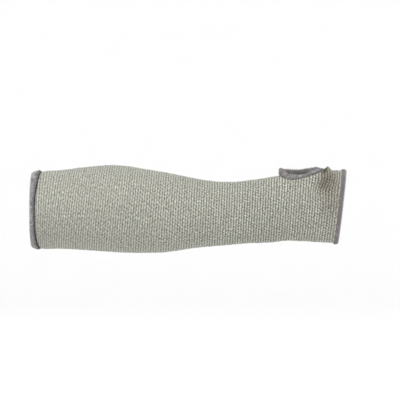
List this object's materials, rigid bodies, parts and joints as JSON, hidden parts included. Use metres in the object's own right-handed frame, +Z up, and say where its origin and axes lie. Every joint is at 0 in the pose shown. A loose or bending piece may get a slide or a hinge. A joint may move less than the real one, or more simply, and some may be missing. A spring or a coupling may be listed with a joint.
{
  "type": "cut resistant sleeve",
  "caption": "Knitted cut resistant arm sleeve with a thumb hole and overlocked edges, in its worn form from above the elbow to the palm.",
  "frame": {"origin": "centre of the upper-arm opening, where the sleeve ends above the elbow", "axes": "+X along the arm towards the hand, +Z up on the thumb side, +Y towards the back of the hand, so the palm side faces -Y"},
  "size_m": [0.4056, 0.0996, 0.1134],
  "materials": {
    "knit": "matt grey-green melange yarn, purl side of a plain knit outwards, fine ribs across the arm",
    "overlock_thread": "matt grey textured thread, overlocked in a dense cord-like edging with a mauve cast"
  },
  "bodies": {
    "root": {"sleeve_body": "knit", "upper_arm_binding": "overlock_thread", "hand_binding": "overlock_thread", "thumb_hole_binding": "overlock_thread"}
  },
  "joints": []
}
